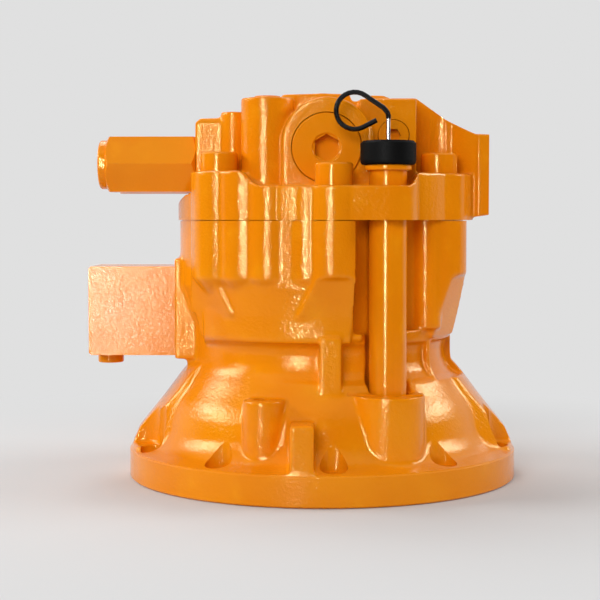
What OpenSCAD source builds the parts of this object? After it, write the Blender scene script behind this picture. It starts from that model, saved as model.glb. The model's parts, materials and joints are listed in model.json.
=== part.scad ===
// Swing motor: round mounting flange, swash plate rotating group, spring applied disc
// brake, valve cover with relief and make-up valves, brake valve block and dipstick.
// Millimetres. Z runs up along the shaft and Z = 0 is the lower mounting face.
// -Y is the front with the dipstick tube, +X the side with the two main ports.

/* [Mounting flange] */
// Outside diameter of the mounting flange
flange_d = 330; // [326:1:338]
// Height of the flange rim
rim_h = 24.3; // [22:0.1:28]
// Distance from the flange's rim to the centres of its bolt holes
bolt_edge = 15; // [13:0.5:17]
// Diameter of the flange's bolt circle
bolt_circle_d = flange_d - 2 * bolt_edge;
// Number of bolts in the flange
flange_bolt_count = 10; // [8:2:10]
// Diameter of the flange's bolt holes
flange_hole_d = 18; // [16:0.5:20]
// Diameter of the spanner pocket over each flange bolt
pocket_d = 25; // [22:1:30]
// Diameter of the recess under the flange
recess_d = 120; // [110:1:130]
// Depth of the recess under the flange
recess_depth = 22; // [20:0.5:23]

/* [Casing] */
// Height of the joint between casing and cover
casing_h = 217.5; // [215:0.5:221]
// Outside diameter of the casing below the joint
upper_d = 243; // [240:1:250]
// Outside diameter of the casing's waist
waist_d = 220; // [216:1:228]
// Bore that holds the brake piston
brake_bore_d = 172; // [171:0.5:174]
// Bore that holds the brake discs
disc_bore_d = 160; // [158:0.5:162]
// Bore of the chamber round the slippers
chamber_d = 144; // [140:1:148]
// Straight height of the cover bolts' columns
column_h = 45; // [40:1:50]
// Diameter of the drain port's hole
drain_d = 18; // [15:0.5:20]

/* [Cover bolts] */
// Diameter of the circle that the cover bolts stand on
cover_circle_d = 216; // [214:1:220]
// Thread diameter of the cover bolts
cover_bolt_d = 20; // [16:1:20]
// Diameter of the round lobe about each cover bolt
lobe_d = 46; // [44:1:50]
// Depth that the cover bolts reach into the casing
thread_depth = 38; // [30:1:44]

/* [Valve cover] */
// Diameter of the cover's plate
cover_d = 246; // [242:1:252]
// Thickness of the cover's plate at the front
plate_t = 27; // [26:0.5:30]
// Height of the cover above the joint
cover_h = 103; // [101:1:108]
// Diameter of the make-up port on top
makeup_port_d = 30; // [24:1:32]
// Diameter of the two main ports
port_d = 25; // [20:1:25]
// Distance between the two main ports
port_spacing = 56; // [55:0.5:60]
// Distance from the shaft to the port face
port_face_x = 137.5; // [134:0.5:144]
// Width between a port's flange bolts
port_bolt_w = 26.2; // [24:0.1:28]
// Height between a port's flange bolts
port_bolt_h = 52.4; // [48:0.1:54]
// Diameter of the port flange's bolt holes
port_bolt_d = 10.5; // [8:0.5:11]

/* [Relief valves] */
// Width across the flats of the relief valves
relief_hex = 46; // [41:1:48]
// Length of the relief valve outside the cover
relief_len = 75; // [70:1:84]
// Distance between the two relief valves
relief_spacing = 68; // [66:1:71]
// Diameter of the relief valve's shank
relief_shank_d = 34; // [32:0.5:35]
// Bore inside the relief valve
relief_bore_d = 18; // [17:0.5:20]
// Seat diameter of the relief valve
relief_seat_d = 9; // [8:0.2:10]
// Lift of the relief valve
relief_lift = 3; // [1.5:0.5:3.5]

/* [Make-up valves] */
// Diameter of the make-up valve's plug
makeup_plug_d = 56; // [52:1:60]
// Diameter of the boss about the make-up valve
makeup_boss_d = 73; // [70:1:76]
// Width across the flats of the plug's hexagon socket
makeup_socket = 19; // [14:1:22]
// Diameter of the make-up valve's seat
makeup_seat_d = 26; // [22:0.5:28]
// Lift of the make-up valve
makeup_lift = 5; // [3:0.5:7]

/* [Brake valve block] */
// Length of the brake valve block
block_len = 73; // [68:1:80]
// Depth of the brake valve block from front to back
block_depth = 60; // [56:1:64]
// Height of the brake valve block
block_tall = 75; // [72:1:80]
// Diameter of the brake valve's spool
spool_d = 14; // [12:0.5:15]
// Travel of the brake valve's spool
spool_travel = 4; // [2:0.5:5]

/* [Dipstick] */
// Outside diameter of the dipstick tube
tube_d = 30; // [28:0.5:32]
// Inside diameter of the dipstick tube
tube_bore = 22; // [18:0.5:24]
// Diameter of the rubber cap
cap_d = 44; // [40:1:46]
// Height of the rubber cap
cap_h = 18.6; // [17:0.1:23]
// Diameter of the dipstick rod
rod_d = 3; // [2.5:0.25:4]
// Thickness of the coated wire of the handle
wire_d = 4; // [3:0.25:5]
// Diameter of the handle's loop at the middle of the wire
loop_d = 29; // [26:0.5:32]

/* [Shaft and bearings] */
// Diameter of the shaft at the seal and the lower bearing
shaft_d = 50; // [48:0.5:52]
// Diameter of the shaft inside the rotating group
core_d = 40; // [38:0.5:41]
// Diameter of the shaft in the upper bearing
journal_d = 38; // [36:0.5:38]
// Outside diameter of the lower bearing
lower_bearing_d = 100; // [98:1:104]
// Outside diameter of the upper bearing
upper_bearing_d = 68; // [66:0.5:69]

/* [Rotating group] */
// Number of pistons
piston_count = 9; // [7:2:9]
// Diameter of the pistons
piston_d = 26; // [24:0.5:26.5]
// Diameter of the circle that the pistons stand on
piston_circle_d = 90; // [89:0.5:92]
// Tilt of the swash plate in degrees
swash_angle = 16; // [12:0.5:16.5]
// Outside diameter of the cylinder block
cylinder_block_d = 130; // [128:0.5:132]
// Height of the cylinder block's lower face above the mounting face
block_base = 132; // [130:0.5:134]
// Gap over a piston at the top of its stroke
dead_gap = 6.7; // [5.5:0.1:12]
// Diameter of the piston's ball
ball_d = 18; // [16:0.5:18.5]
// Thickness of the valve plate
valve_plate_t = 6; // [5:0.5:8]
// Width of the kidney ports
kidney_w = 13; // [10:0.5:14]

/* [Brake] */
// Number of friction discs
friction_count = 3; // [2:1:3]
// Thickness of a friction disc
friction_t = 3.4; // [2.8:0.1:3.6]
// Thickness of a separator plate
separator_t = 2.6; // [2:0.1:2.8]
// Number of brake springs
brake_spring_count = 12; // [8:1:16]
// Lift of the brake piston
brake_lift = 2; // [1:0.25:3]

/* [Hidden] */
$fn = 72;

// Clearances: running fit of a piston or spool, gap between faces that touch, free gap
fit = 0.03;
seat = 0.02;
free = 0.3;

// Middle plane of the valves and ports, a little behind the shaft
mid_y = 10;

// Flange, casing and their features
flange_r = flange_d / 2;
flange_turn = 3.5;
flare_z = 86.5;
flare_r = 118;
bell_r = flange_r - 32;
rib_w = 40;
rib_angle = [-86.5, 93.5, 165.5, 201.5];
waist_r = waist_d / 2;
upper_r = upper_d / 2;
neck_z = casing_h - 55;
flute_r = 24;
flute_angle = [-37.5, -26.5, -16.5];
waist_z = casing_h - 87;
seat_floor = 72;
seal_floor = recess_depth + 17;
bearing_floor = 42;
bearing_h = 28;

// Cover bolts: angle from the front towards +X and the height of each head's seat
bolt_angle = [-50.6, 5, 63, 142.7, 217.3];
bolt_seat = [34.7, plate_t - 2.1, 34.5, plate_t - 2.1, plate_t - 2.1];
head_d = cover_bolt_d * 1.5;
head_h = cover_bolt_d;
head_gap = 1;
lobe_top = 39;
lobe_top_right = 37.8;

// Joint seal and dowels
groove_r = brake_bore_d / 2 + 4.6;
seal_t = 2.9;
dowel_d = 10;
dowel_r = 104;
dowel_angle = [100, -80];

// Dipstick
tube_at = [52, -103];
tube_seat_z = 60;
tube_boss_r = 25;
tube_boss_h = 80;
tube_gap = 2.5;
groove_at = [47.5, -114.5];
tube_groove_r = 23;
tube_top = casing_h + 43.4;
collar_t = 4.7;
cap_gap = 1;
rod_end = 8;
loop_z = tube_top + 42.3;
loop_x = 25.5;

// Rotating group, counted down from the joint
block_top = casing_h - valve_plate_t;
block_bottom = block_base;
circle_r = piston_circle_d / 2;
ball_over = 10;
pivot_z = block_bottom - 25.6;
piston_bore_top = block_top - 10;
piston_len = piston_bore_top - dead_gap - pivot_z - tan(swash_angle) * circle_r;
shoe_flange_r = 15;
shoe_neck_r = ball_d / 2 + 3;
shoe_flange_t = 5;
tooth_count = 24;
tooth_tip = cylinder_block_d / 2 + 3;
tooth_root = cylinder_block_d / 2 + 0.5;
spring_floor = block_bottom + 38;
retainer_r = 26;

// Brake stack, counted up from its shoulder
stack_z = block_bottom + 8;
stack_h = (friction_count + 1) * (separator_t + seat) + friction_count * (friction_t + seat);
stack_top = stack_z + stack_h;
step_z = stack_z + 30;
slot_sink = 1.5;
piston_top = casing_h - brake_lift - 0.5;
piston_step = step_z + 3;
brake_inner_r = tooth_tip + 1.5;
spring_circle_r = 76;
spring_pocket_r = 5;
pocket_floor = 17.26;
spring_pocket_z = stack_top + pocket_floor;

// Valve cover, heights counted from the joint
relief_x = -105;
relief_z = 46.4;
makeup_x = 3.6;
makeup_z = 57.8;
makeup_face = 96;
makeup_seat_at = 22;
makeup_plug_t = 24;
makeup_guide_r = 12;
makeup_flange_t = 6;
chamber_r = 22;
boss_x = 4.4;
boss_z = makeup_z + 4;
gauge_x = 57.7;
gauge_z = 68.2;
gauge_face = 82;
gauge_top = cover_h - 8;
gauge_r = 12.5;
column_at = [-44.5, -62];
column_r = 21.5;
column_top = 98.6;
port_z = 37.5;
port_depth = port_face_x - makeup_x - makeup_seat_d / 2 - 4.9;
neck_w = port_spacing / 2 + port_d / 2 + 4;
kidney_top = 42;
upper_bearing_h = 19;

// Brake valve block
block_x = -124;
block_z = 103.5;
spool_z = block_z + 50.7;
lower_z = block_z + 28;
block_bolt_y = block_depth / 2 - 10;
block_bolt_z = [block_z + 10, block_z + block_tall - 10];

function polar(r, a) = [r * sin(a), -r * cos(a)];

module bar(r, z0, z1) { translate([0, 0, z0]) cylinder(r = r, h = z1 - z0); }

module ring(ro, ri, z0, z1) {
  difference() { bar(ro, z0, z1); bar(ri, z0 - 1, z1 + 1); }
}

module hex(af, z0, z1) { translate([0, 0, z0]) cylinder(r = af / sqrt(3), h = z1 - z0, $fn = 6); }

// Local +Z turned to point left, right, to the front or to the back
module left(p) { translate(p) rotate([0, -90, 0]) children(); }
module right(p) { translate(p) rotate([0, 90, 0]) children(); }
module front(p) { translate(p) rotate([90, 0, 0]) children(); }
module back(p) { translate(p) rotate([-90, 0, 0]) children(); }

// Frame of the slippers: origin where their ball plane crosses the shaft, Z along the swash plate's normal
module tilted() { translate([0, 0, pivot_z]) rotate([0, -swash_angle, 0]) children(); }

module at_bolts() { for (i = [0:4]) translate(polar(cover_circle_d / 2, bolt_angle[i])) children(); }

// Straight sided teeth about a circle, wider and longer by a clearance
function tooth(n, r0, r1, c, i) = let(a = i * 360 / n, w0 = 90 / n * 1.2 + c * 57.3 / r0, w1 = 90 / n * 0.8 + c * 57.3 / r1)
  [[r0 + c, a - w0], [r1 + c, a - w1], [r1 + c, a + w1], [r0 + c, a + w0]];
module teeth(n, r0, r1, c = 0) {
  polygon([for (i = [0:n - 1]) for (p = tooth(n, r0, r1, c, i)) [p[0] * cos(p[1]), p[0] * sin(p[1])]]);
}

// Compression spring between two heights, its wire a polygon of m sides
module coil(r, w, z0, z1, turns, n, m) {
  steps = round(turns * n);
  rise = z1 - z0 - 2 * w;
  pts = [for (i = [0:steps]) let(a = i * 360 / n, t = i / steps) for (k = [0:m - 1])
    let(b = k * 360 / m, q = r + w * cos(b)) [q * cos(a), q * sin(a), z0 + w + rise * t + w * sin(b)]];
  faces = concat([for (k = [1:m - 2]) [0, k, k + 1]],
    [for (i = [0:steps - 1]) for (k = [0:m - 1]) let(a = i * m + k, b = i * m + (k + 1) % m) each [[a, a + m, b + m], [a, b + m, b]]],
    [for (k = [1:m - 2]) [steps * m, steps * m + k + 1, steps * m + k]]);
  polyhedron(points = pts, faces = faces);
}

// Kidney port: a curved slot with round ends, centred on an angle
module kidney(r, w, a, span) {
  rotate([0, 0, a - span / 2]) rotate_extrude(angle = span) translate([r - w / 2, 0]) square([w, 200]);
  for (s = [-1, 1]) rotate([0, 0, a + s * span / 2]) translate([r, 0, 0]) cylinder(d = w, h = 200);
}

module rounded(x0, y0, x1, y1, r) {
  translate([x0 + r, y0]) square([x1 - x0 - 2 * r, y1 - y0]);
  translate([x0, y0 + r]) square([x1 - x0, y1 - y0 - 2 * r]);
  for (x = [x0 + r, x1 - r]) for (y = [y0 + r, y1 - r]) translate([x, y]) circle(r);
}

// Casing
module casing_shape() {
  rotate_extrude() polygon([[0, 0], [flange_r - 1.5, 0], [flange_r, 1.5], [flange_r, rim_h - 1.5],
    [flange_r - 1.5, rim_h], [flange_r - 3, rim_h + 2], [bell_r + 5, rim_h + 8], [bell_r + 1.5, rim_h + 11], [bell_r, rim_h + 16],
    [bell_r - 3.5, flare_z - 22], [bell_r - 6, flare_z - 15], [bell_r - 11, flare_z - 8], [flare_r, flare_z], [waist_r + 1.5, flare_z + 8],
    [waist_r, flare_z + 15], [waist_r, waist_z], [upper_r - 2, neck_z - 4], [upper_r, neck_z],
    [upper_r, casing_h], [0, casing_h]]);
  // Straight ribs from the neck to the rim at the sides and the back
  intersection() {
    rotate_extrude() polygon([[100, 10], [flange_r - 2.5, 10], [flange_r - 2.5, rim_h + 4], [flare_r, flare_z], [100, flare_z]]);
    for (a = rib_angle) rotate([0, 0, a - 90]) translate([0, -rib_w / 2, 0]) cube([flange_r, rib_w, 100]);
  }
  // Bolt columns with slanted undersides, and the shallow flutes of the front wall between them
  at_bolts() {
    bar(lobe_d / 2, casing_h - column_h, casing_h);
    translate([0, 0, casing_h - column_h - 30]) cylinder(r1 = lobe_d / 2 - 21, r2 = lobe_d / 2, h = 30);
  }
  for (a = flute_angle) translate(polar(upper_r + 4 - flute_r, a)) {
    bar(flute_r, casing_h - column_h, casing_h);
    translate([0, 0, casing_h - column_h - 12]) cylinder(r1 = flute_r - 12, r2 = flute_r, h = 12);
  }
  // Ledge below the columns and the ribs under it
  intersection() {
    rotate_extrude() polygon([[90, 110], [105, 112], [waist_r + 8, 122], [waist_r + 8, 141], [upper_r - 0.5, neck_z], [90, neck_z + 2]]);
    translate([-97, -150, 100]) cube([120, 110, 60]);
  }
  translate([-1.5, -121, 68]) cube([17, 40, 58]);
  intersection() {
    translate([-24, -flange_r, 10]) cube([17, 70, 55.5]);
    bar(flange_r - 2.5, 0, 70);
  }
  translate([-44, -122, 0]) bar(16, 10, 77);
  translate(tube_at) bar(tube_boss_r, 10, tube_boss_h);
  // Pad of the brake valve block
  translate([block_x, -block_depth / 2 - 4, block_z - 3]) cube([40, block_depth + 8, block_tall + 10]);
  translate([block_x + 10, -block_depth / 2 - 1, block_z - 20]) cube([30, block_depth + 2, 24]);
  // Drain port's boss at the back
  back([0, 90, 108]) { cylinder(r = 19, h = 36); }
}

module casing_hollow() {
  bar(recess_d / 2, -1, recess_depth);
  bar(36 + fit, recess_depth - 1, seal_floor);
  bar(37.6, recess_depth + 0.4, recess_depth + 2.4);
  bar(shaft_d / 2 + 4, seal_floor - 1, bearing_floor + 1);
  bar(lower_bearing_d / 2 + seat, bearing_floor, seat_floor + 1);
  bar(chamber_d / 2, seat_floor, stack_z + 1);
  bar(disc_bore_d / 2, stack_z, step_z + 1);
  bar(brake_bore_d / 2, step_z, casing_h + 1);
  // Slots for the separator plates' lugs, cut a little below the stack
  for (a = [45:90:315]) rotate([0, 0, a]) translate([0, -10.2, stack_z - slot_sink]) cube([disc_bore_d / 2 + 4.4, 20.4, step_z - stack_z + slot_sink + 1]);
  ring(groove_r + 2, groove_r - 2, casing_h - 3, casing_h + 1);
}

module casing() {
  color("#e8920c") difference() {
    casing_shape();
    casing_hollow();
    // Front pockets under the ledge, either side of the rib
    for (x = [[-92, -1.5], [15.5, 36]]) intersection() {
      ring(150, waist_r - 5, flare_z + 4, 110);
      translate([x[0], -150, 80]) cube([x[1] - x[0], 90, 40]);
    }
    for (i = [0:flange_bolt_count - 1]) translate(polar(bolt_circle_d / 2, flange_turn + i * 360 / flange_bolt_count)) {
      bar(flange_hole_d / 2, -1, rim_h + 1);
      bar(pocket_d / 2, rim_h, rim_h + 60);
    }
    at_bolts() bar(cover_bolt_d / 2 + seat, casing_h - thread_depth - 4, casing_h + 1);
    for (a = dowel_angle) translate(polar(dowel_r, a)) bar(dowel_d / 2 + seat, casing_h - 15, casing_h + 1);
    translate(tube_at) {
      bar(tube_d / 2 + seat, tube_seat_z, tube_boss_h + 1);
      bar(tube_bore / 2, -1, tube_seat_z + 1);
      bar(tube_d / 2 + tube_gap, tube_boss_h, casing_h + 1);
    }
    translate(groove_at) bar(tube_groove_r, casing_h - column_h - 45, casing_h + 1);
    translate([-47, -122, 0]) bar(6.5, 47, 78);
    back([0, 60, 108]) cylinder(d = drain_d, h = 70);
    // Brake valve block's bolts and the drilling to the brake piston
    for (y = [-1, 1]) for (z = block_bolt_z) right([block_x - 1, y * block_bolt_y, z]) bar(5 + seat, 0, 20);
    right([block_x - 1, 0, step_z + 1.5]) bar(1.3, 0, 60);
    translate([0, 60, 0]) bar(4 + seat, seat_floor - 10, seat_floor + 1);
  }
}

// Valve cover, built on the joint and lifted to it
module cover_outline() {
  circle(r = cover_d / 2);
  at_bolts() circle(r = lobe_d / 2);
  translate(tube_at) circle(r = 24);
  translate([9, -127]) square([43, 60]);
}

// Profile in X and height, drawn out along Y
module along_y(y0, y1) { translate([0, y1, 0]) rotate([90, 0, 0]) linear_extrude(y1 - y0) children(); }
module along_x(x0, x1) { translate([x0, 0, 0]) rotate([90, 0, 90]) linear_extrude(x1 - x0) children(); }

module cover_shape() {
  intersection() {
    linear_extrude(60) cover_outline();
    along_y(-160, 160) polygon([[-160, 0], [-160, lobe_top], [-66, lobe_top], [-61, lobe_top - 2], [-55, plate_t + 3], [-49, plate_t],
      [68, plate_t], [71, plate_t + 2], [75, lobe_top_right - 1], [78, lobe_top_right], [160, lobe_top_right], [160, 0]]);
  }
  // Middle block
  intersection() {
    along_y(-90, 110) polygon([[-40, 0], [-40, cover_h - 10], [-32, cover_h - 1], [0, cover_h], [50, cover_h - 2], [62, cover_h - 7], [62, 0]]);
    along_x(-60, 80) polygon([[mid_y - 72, 0], [mid_y - 72, cover_h - 7], [mid_y - 64, cover_h], [mid_y + 64, cover_h],
      [mid_y + 72, cover_h - 7], [mid_y + 72, 0]]);
  }
  // Relief valves' housing, stepped down to the left
  intersection() {
    along_y(-90, 110) polygon([[relief_x, 8], [relief_x, 80], [relief_x + 4, 84], [relief_x + 20, 84.5], [relief_x + 23, 88], [-30, 90], [-30, 8]]);
    along_x(-120, -20) polygon([[mid_y - 56.5, 8], [mid_y - 56.5, 78], [mid_y - 46.5, 90], [mid_y + 46.5, 90], [mid_y + 56.5, 78], [mid_y + 56.5, 8]]);
  }
  translate(column_at) { bar(column_r, 8, column_top - 2); translate([0, 0, column_top - 2]) cylinder(r1 = column_r, r2 = column_r - 2, h = 2); }
  // Bosses of the two make-up valves
  front([boss_x, mid_y + makeup_face, boss_z]) cylinder(d = makeup_boss_d, h = 2 * makeup_face);
  translate([boss_x - makeup_boss_d / 2, mid_y - makeup_face, 8]) cube([makeup_boss_d, 2 * makeup_face, boss_z - 8]);
  // Port block, its neck past the right bolt and the port pad
  translate([0, 0, 8]) linear_extrude(cover_h - 13.2) rounded(30, mid_y - gauge_face, 76, mid_y + 50, 7);
  intersection() {
    translate([0, 0, 2]) linear_extrude(cover_h) polygon([[55, mid_y - neck_w], [108, mid_y - neck_w], [port_face_x - 9, mid_y - 57],
      [port_face_x - 9, mid_y + 57], [108, mid_y + neck_w], [55, mid_y + neck_w]]);
    along_y(-90, 110) polygon([[50, 2], [50, cover_h - 1.7], [78, cover_h - 1.7], [102, port_z + 46.5], [port_face_x - 11, port_z + 33.5],
      [port_face_x, port_z + 32.8], [port_face_x, port_z - 33], [port_face_x - 8, port_z - 34.5], [123, 2]]);
  }
  translate([port_face_x - 9.5, mid_y - 58, port_z - 33]) cube([9.5, 116, 65.8]);
}

module makeup_side() {
  // Local Z runs out of the make-up valve's bore, from its seat
  bar(makeup_seat_d / 2, -30, 1);
  bar(chamber_r, 0, makeup_face - makeup_seat_at - makeup_plug_t + 1);
  bar(makeup_plug_d / 2 + seat, makeup_face - makeup_seat_at - makeup_plug_t, 100);
}

module relief_bore() {
  // Local Z points away from the cover, from the wall that the valve seats on
  bar(relief_shank_d / 2 + seat, -30, 1);
  bar(13 + seat, -44.5, -29);
  bar(relief_seat_d / 2 + 3, -96, -43);
  bar(relief_shank_d / 2 + 3, -2.6, 1);
}

module valve_cover() {
  color("#ee9a12") translate([0, 0, casing_h]) difference() {
    cover_shape();
    // Machined recess that the relief valves seat in
    translate([relief_x - 60, mid_y - 64, 21]) cube([60, 128, 60]);
    for (i = [0:4]) translate(polar(cover_circle_d / 2, bolt_angle[i])) {
      bar(cover_bolt_d / 2 + 0.5, -1, cover_h);
      bar(head_d / 2 + head_gap, bolt_seat[i], cover_h + 10);
    }
    for (a = dowel_angle) translate(polar(dowel_r, a)) bar(dowel_d / 2 + seat, -1, 15);
    translate(tube_at) bar(tube_d / 2 + free, -1, 60);
    translate(tube_at) bar(cap_d / 2 + cap_gap, tube_top - collar_t - casing_h - cap_gap, cover_h + 1);
    // Upper bearing, kidney ports and the valve plate's pin
    bar(upper_bearing_d / 2 + seat, -1, upper_bearing_h + 1.5);
    for (a = [-90, 90]) intersection() { translate([0, 0, -10]) kidney(circle_r, kidney_w, a, 118); bar(90, -11, kidney_top); }
    translate([circle_r + 10, 0, 0]) bar(2.5 + seat, -1, 7);
    // Make-up valves, their common gallery and its port on top
    front([makeup_x, mid_y - makeup_seat_at, makeup_z]) makeup_side();
    back([makeup_x, mid_y + makeup_seat_at, makeup_z]) makeup_side();
    translate([makeup_x, mid_y, 0]) bar(makeup_port_d / 2, 44, cover_h + 1);
    // Relief valves, the drilling that joins them and its way to the gallery
    for (s = [-1, 1]) left([relief_x, mid_y + s * relief_spacing / 2, relief_z]) relief_bore();
    front([relief_x + 30, mid_y + relief_spacing / 2, relief_z]) cylinder(r = 4, h = relief_spacing);
    right([relief_x + 30, mid_y, relief_z + 4]) cylinder(r = 6, h = 105);
    // Main ports and their flange bolts
    for (s = [-1, 1]) right([port_face_x, mid_y + s * port_spacing / 2, port_z]) {
      bar(port_d / 2, -port_depth, 1);
      for (y = [-1, 1]) for (z = [-1, 1]) translate([z * port_bolt_h / 2, y * port_bolt_w / 2, 0]) bar(port_bolt_d / 2, -22, 1);
    }
    // Gauge ports in front and on top, each drilled to its main port
    front([gauge_x, mid_y - gauge_face, gauge_z]) { bar(gauge_r + seat, -14, 1); bar(4, port_spacing / 2 - gauge_face - 4, 0); }
    translate([gauge_x, mid_y - port_spacing / 2, 0]) bar(4, port_z, gauge_z);
    translate([gauge_x, mid_y + port_spacing / 2, 0]) { bar(gauge_r + seat, gauge_top - 14, gauge_top + 1); bar(gauge_r + 3, gauge_top, cover_h + 1); bar(4, port_z, gauge_top - 13); }
    translate(column_at) bar(8 + seat, column_top - 20, column_top + 1);
  }
}

module cover_bolts() {
  color("#f0a020") for (i = [0:4]) translate(polar(cover_circle_d / 2, bolt_angle[i])) translate([0, 0, casing_h]) difference() {
    union() {
      bar(cover_bolt_d / 2, -thread_depth, bolt_seat[i] + seat);
      bar(head_d / 2, bolt_seat[i] + seat, bolt_seat[i] + head_h - 1.5);
      translate([0, 0, bolt_seat[i] + head_h - 1.5]) cylinder(r1 = head_d / 2, r2 = head_d / 2 - 1.2, h = 1.5);
    }
    hex(cover_bolt_d * 0.85, bolt_seat[i] + head_h / 2, bolt_seat[i] + head_h + 1);
  }
}

module cover_dowels() {
  color("#b8bcc0") for (a = dowel_angle) translate(polar(dowel_r, a)) bar(dowel_d / 2, casing_h - 14, casing_h + 14);
}

module joint_seal() {
  color("#202020") rotate_extrude() translate([groove_r, casing_h - 1.5]) circle(d = seal_t, $fn = 24);
}

// Shaft, bearings and seal
module drive_shaft() {
  color("#aeb4b8") {
    translate([0, 0, 4]) linear_extrude(recess_depth + 3) teeth(16, shaft_d / 2 - 3.5, shaft_d / 2 - 1);
    rotate_extrude() polygon([[0, 3], [shaft_d / 2 - 5, 3], [shaft_d / 2 - 3.7, 4.3], [shaft_d / 2 - 3.7, recess_depth + 2], [shaft_d / 2, recess_depth + 4],
      [shaft_d / 2, bearing_floor + bearing_h], [shaft_d / 2 + 3.5, bearing_floor + bearing_h + seat], [shaft_d / 2 + 3.5, bearing_floor + bearing_h + 4],
      [core_d / 2, bearing_floor + bearing_h + 7], [core_d / 2, spring_floor - 2], [core_d / 2 - 0.6, spring_floor - 1], [core_d / 2 - 0.6, block_top - 2],
      [journal_d / 2, block_top - 1], [journal_d / 2, casing_h + upper_bearing_h - 1], [journal_d / 2 - 1, casing_h + upper_bearing_h], [0, casing_h + upper_bearing_h]]);
    translate([0, 0, spring_floor + 2]) linear_extrude(block_top - spring_floor - 5) teeth(18, core_d / 2 - 0.5, core_d / 2 + 1.5);
  }
}

// Roller bearing: bore and outside radius, heights, and the two races between them
module outer_race(ro, race, z0, z1) {
  difference() {
    ring(ro, race, z0, z1);
  }
  for (z = [[z0, z0 + 3], [z1 - 3, z1]]) ring(race + 1, race - 1.6, z[0], z[1]);
}
module rollers(pitch, r, n, z0, z1) {
  for (i = [0:n - 1]) rotate([0, 0, i * 360 / n]) translate([pitch, 0, 0]) bar(r, z0, z1);
}
module cage(pitch, w, r, n, z0, z1) {
  difference() {
    ring(pitch + w / 2, pitch - w / 2, z0, z1);
    rollers(pitch, r + 0.25, n, z0 + 2, z1 - 2);
  }
}

low_in = shaft_d / 2 + 8;
low_out = lower_bearing_d / 2 - 6.5;
low_mid = (low_in + low_out) / 2;
low_r = (low_out - low_in) / 2 - fit;
low_top = bearing_floor + bearing_h;
up_in = journal_d / 2 + 4;
up_out = upper_bearing_d / 2 - 4.5;
up_mid = (up_in + up_out) / 2;
up_r = (up_out - up_in) / 2 - fit;
up_z0 = casing_h + 1;
up_z1 = casing_h + upper_bearing_h + 1;

module lower_bearing_outer() { color("#c4c8cc") outer_race(lower_bearing_d / 2, low_out, bearing_floor + seat, low_top); }
module lower_bearing_inner() { color("#c4c8cc") ring(low_in, shaft_d / 2 + seat, bearing_floor + 0.2, low_top - seat); }
module lower_bearing_rollers() { color("#d8dce0") rollers(low_mid, low_r, 16, bearing_floor + 3.3, low_top - 3.3); }
module lower_bearing_cage() { color("#c89838") cage(low_mid, 3.2, low_r, 16, bearing_floor + 1.2, low_top - 1.2); }
module upper_bearing_outer() { color("#c4c8cc") outer_race(upper_bearing_d / 2, up_out, up_z0, up_z1); }
module upper_bearing_inner() { color("#c4c8cc") ring(up_in, journal_d / 2 + seat, up_z0, up_z1 - 2); }
module upper_bearing_rollers() { color("#d8dce0") rollers(up_mid, up_r, 16, up_z0 + 3.3, up_z1 - 3.3); }
module upper_bearing_cage() { color("#c89838") cage(up_mid, 2, up_r, 16, up_z0 + 1.2, up_z1 - 1.2); }

module shaft_seal() {
  z = recess_depth + 2.5;
  color("#181818") rotate_extrude() polygon([[36, z], [36, z + 12], [33, z + 12], [33, z + 3], [shaft_d / 2 + 3, z + 3], [shaft_d / 2 + 2.5, z + 7],
    [shaft_d / 2 + 0.05, z + 9], [shaft_d / 2 + 0.4, z + 4], [shaft_d / 2 + 1, z]]);
}

module seal_retaining_ring() {
  color("#9a9ea2") difference() {
    ring(37.4, 32.5, recess_depth + 0.5, recess_depth + 2.3);
    translate([30, -5, recess_depth]) cube([10, 10, 4]);
  }
}

// Rotating group
module swash_plate() {
  color("#8f979d") difference() {
    bar(66, seat_floor + seat, pivot_z + 25);
    tilted() translate([-150, -150, -ball_over - seat]) cube([300, 300, 200]);
    bar(shaft_d / 2 + 5.5, 0, 200);
    translate([0, 60, 0]) bar(4 + seat, seat_floor - 1, seat_floor + 10);
  }
}
module swash_pin() { color("#b8bcc0") translate([0, 60, 0]) bar(4, seat_floor - 9, seat_floor + 9); }

module at_pistons() {
  for (i = [0:piston_count - 1]) rotate([0, 0, 20 + i * 360 / piston_count]) translate([circle_r, 0, 0]) children();
}
// Slippers stand where the piston circle meets the tilted plane, so their circle is a little oval there
module at_shoes() {
  for (i = [0:piston_count - 1]) let(a = 20 + i * 360 / piston_count)
    translate([circle_r * cos(a) / cos(swash_angle), circle_r * sin(a), 0]) children();
}

module piston_shoes() {
  color("#c9a24a") tilted() at_shoes() difference() {
    union() {
      bar(shoe_flange_r, -ball_over, -ball_over + shoe_flange_t);
      bar(shoe_neck_r, -ball_over + shoe_flange_t - 1, 3.5);
    }
    sphere(d = ball_d + 2 * fit, $fn = 48);
    bar(7, -ball_over - 1, -ball_over + 0.6);
    bar(1.2, -ball_over - 1, 0);
  }
}

module shoe_retainer() {
  color("#7d858c") tilted() difference() {
    bar(circle_r + 17.5, -ball_over + shoe_flange_t + 0.1, -1);
    sphere(r = retainer_r + fit, $fn = 72);
    for (i = [0:piston_count - 1]) rotate([0, 0, 20 + i * 360 / piston_count]) translate([circle_r * (1 + 1 / cos(swash_angle)) / 2, 0, 0])
      bar(shoe_neck_r + 1.2, -20, 10);
  }
}

module retainer_ball() {
  color("#9aa2a8") difference() {
    intersection() { translate([0, 0, pivot_z]) sphere(r = retainer_r, $fn = 72); bar(40, pivot_z - 13, pivot_z + 8); }
    bar(core_d / 2 + fit, 0, 200);
  }
}

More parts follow.
